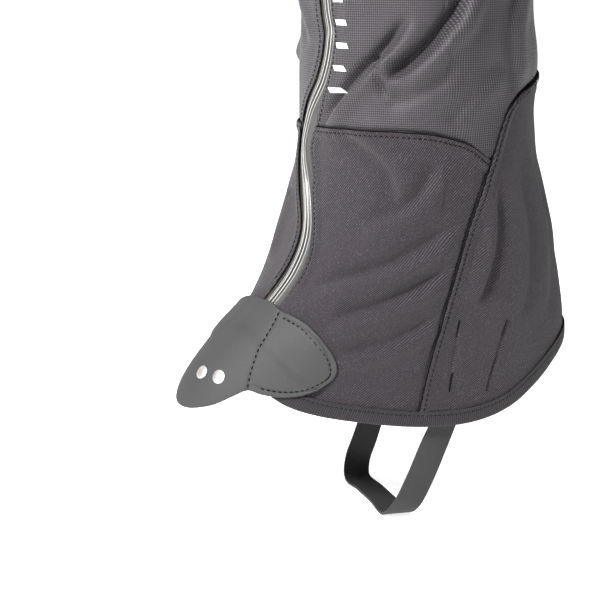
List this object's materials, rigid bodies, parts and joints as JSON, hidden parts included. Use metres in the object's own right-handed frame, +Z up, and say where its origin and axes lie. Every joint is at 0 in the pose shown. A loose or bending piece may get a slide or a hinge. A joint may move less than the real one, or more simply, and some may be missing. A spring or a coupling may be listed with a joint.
{
  "type": "hiking gaiter",
  "caption": "Knee-high hiking gaiter in its worn shape, with a front zip, a rubber lace flap, a twill lower part and a buckled strap under the boot.",
  "frame": {"origin": "on the upper face of the instep strap, at the middle of its flat stretch, where the boot's arch rests", "axes": "-X towards the wearer's toes, +X towards the heel, -Y towards the wearer's left, +Z up the leg"},
  "size_m": [0.2252, 0.1411, 0.4769],
  "materials": {
    "ripstop": "ripstop nylon with a water-repellent finish, slight sheen",
    "twill": "heavy nylon twill, matt",
    "tape": "ribbed woven tape, matt",
    "zip_tape": "coated woven tape, satin",
    "nylon": "moulded nylon, satin",
    "rubber": "rubber-coated cloth, matt",
    "strap_rubber": "coated strap, satin",
    "elastic": "knitted elastic and hook-and-loop, matt",
    "steel": "stainless steel, polished"
  },
  "bodies": {
    "cover": {"left_upper_panel": "ripstop", "right_upper_panel": "ripstop", "left_lower_panel": "twill", "right_lower_panel": "twill", "heel_panel": "twill", "hem_binding": "tape", "zip_tape_left": "zip_tape", "zip_tape_right": "zip_tape", "zip_coil_left": "nylon", "zip_coil_right": "nylon", "zip_top_stop_left": "nylon", "zip_top_stop_right": "nylon", "zip_retainer_box": "nylon", "zip_insertion_pin": "nylon", "cuff_channel": "ripstop", "cuff_elastic": "elastic", "cuff_tab_base": "tape", "cuff_loop_patch": "elastic", "flap_lobe": "rubber", "flap_loop_patch": "elastic", "strap_anchor_pad": "tape", "instep_strap": "strap_rubber", "buckle_tab": "tape", "buckle_frame": "steel", "strap_keeper": "rubber"},
    "slider": {"zip_slider": "steel"},
    "puller": {"zip_puller": "steel"},
    "flap": {"front_flap": "rubber", "flap_hook_patch": "elastic", "lace_hook": "steel", "right_rivet": "steel", "right_rivet_burr": "steel", "left_rivet": "steel", "left_rivet_burr": "steel"},
    "closing_tab": {"cuff_tab": "tape", "cuff_hook_patch": "elastic"},
    "prong": {"buckle_prong": "steel"}
  },
  "joints": [
    {"name": "zip_slide", "type": "slide", "parent": "cover", "child": "slider", "axis": [0.0253, 0.0106, -0.9996], "range_m": [0, 0.14]},
    {"name": "puller_turn", "type": "hinge", "parent": "slider", "child": "puller", "pos_m": [-0.04348, -0.02154, 0.43396], "axis": [-0.2548, 0.967, 0.0038], "range_deg": [0, 150]},
    {"name": "flap_peel", "type": "hinge", "parent": "cover", "child": "flap", "pos_m": [-0.07887, -0.03261, 0.08969], "axis": [0.4382, 0.1791, 0.8809], "range_deg": [0, 100]},
    {"name": "tab_peel", "type": "hinge", "parent": "cover", "child": "closing_tab", "pos_m": [-0.03974, -0.03519, 0.44994], "axis": [-0.0262, -0.0108, 0.9996], "range_deg": [0, 120]},
    {"name": "prong_turn", "type": "hinge", "parent": "cover", "child": "prong", "pos_m": [0.02877, 0.05541, 0.07376], "axis": [0.9011, -0.1347, -0.4122], "range_deg": [0, 30]}
  ]
}
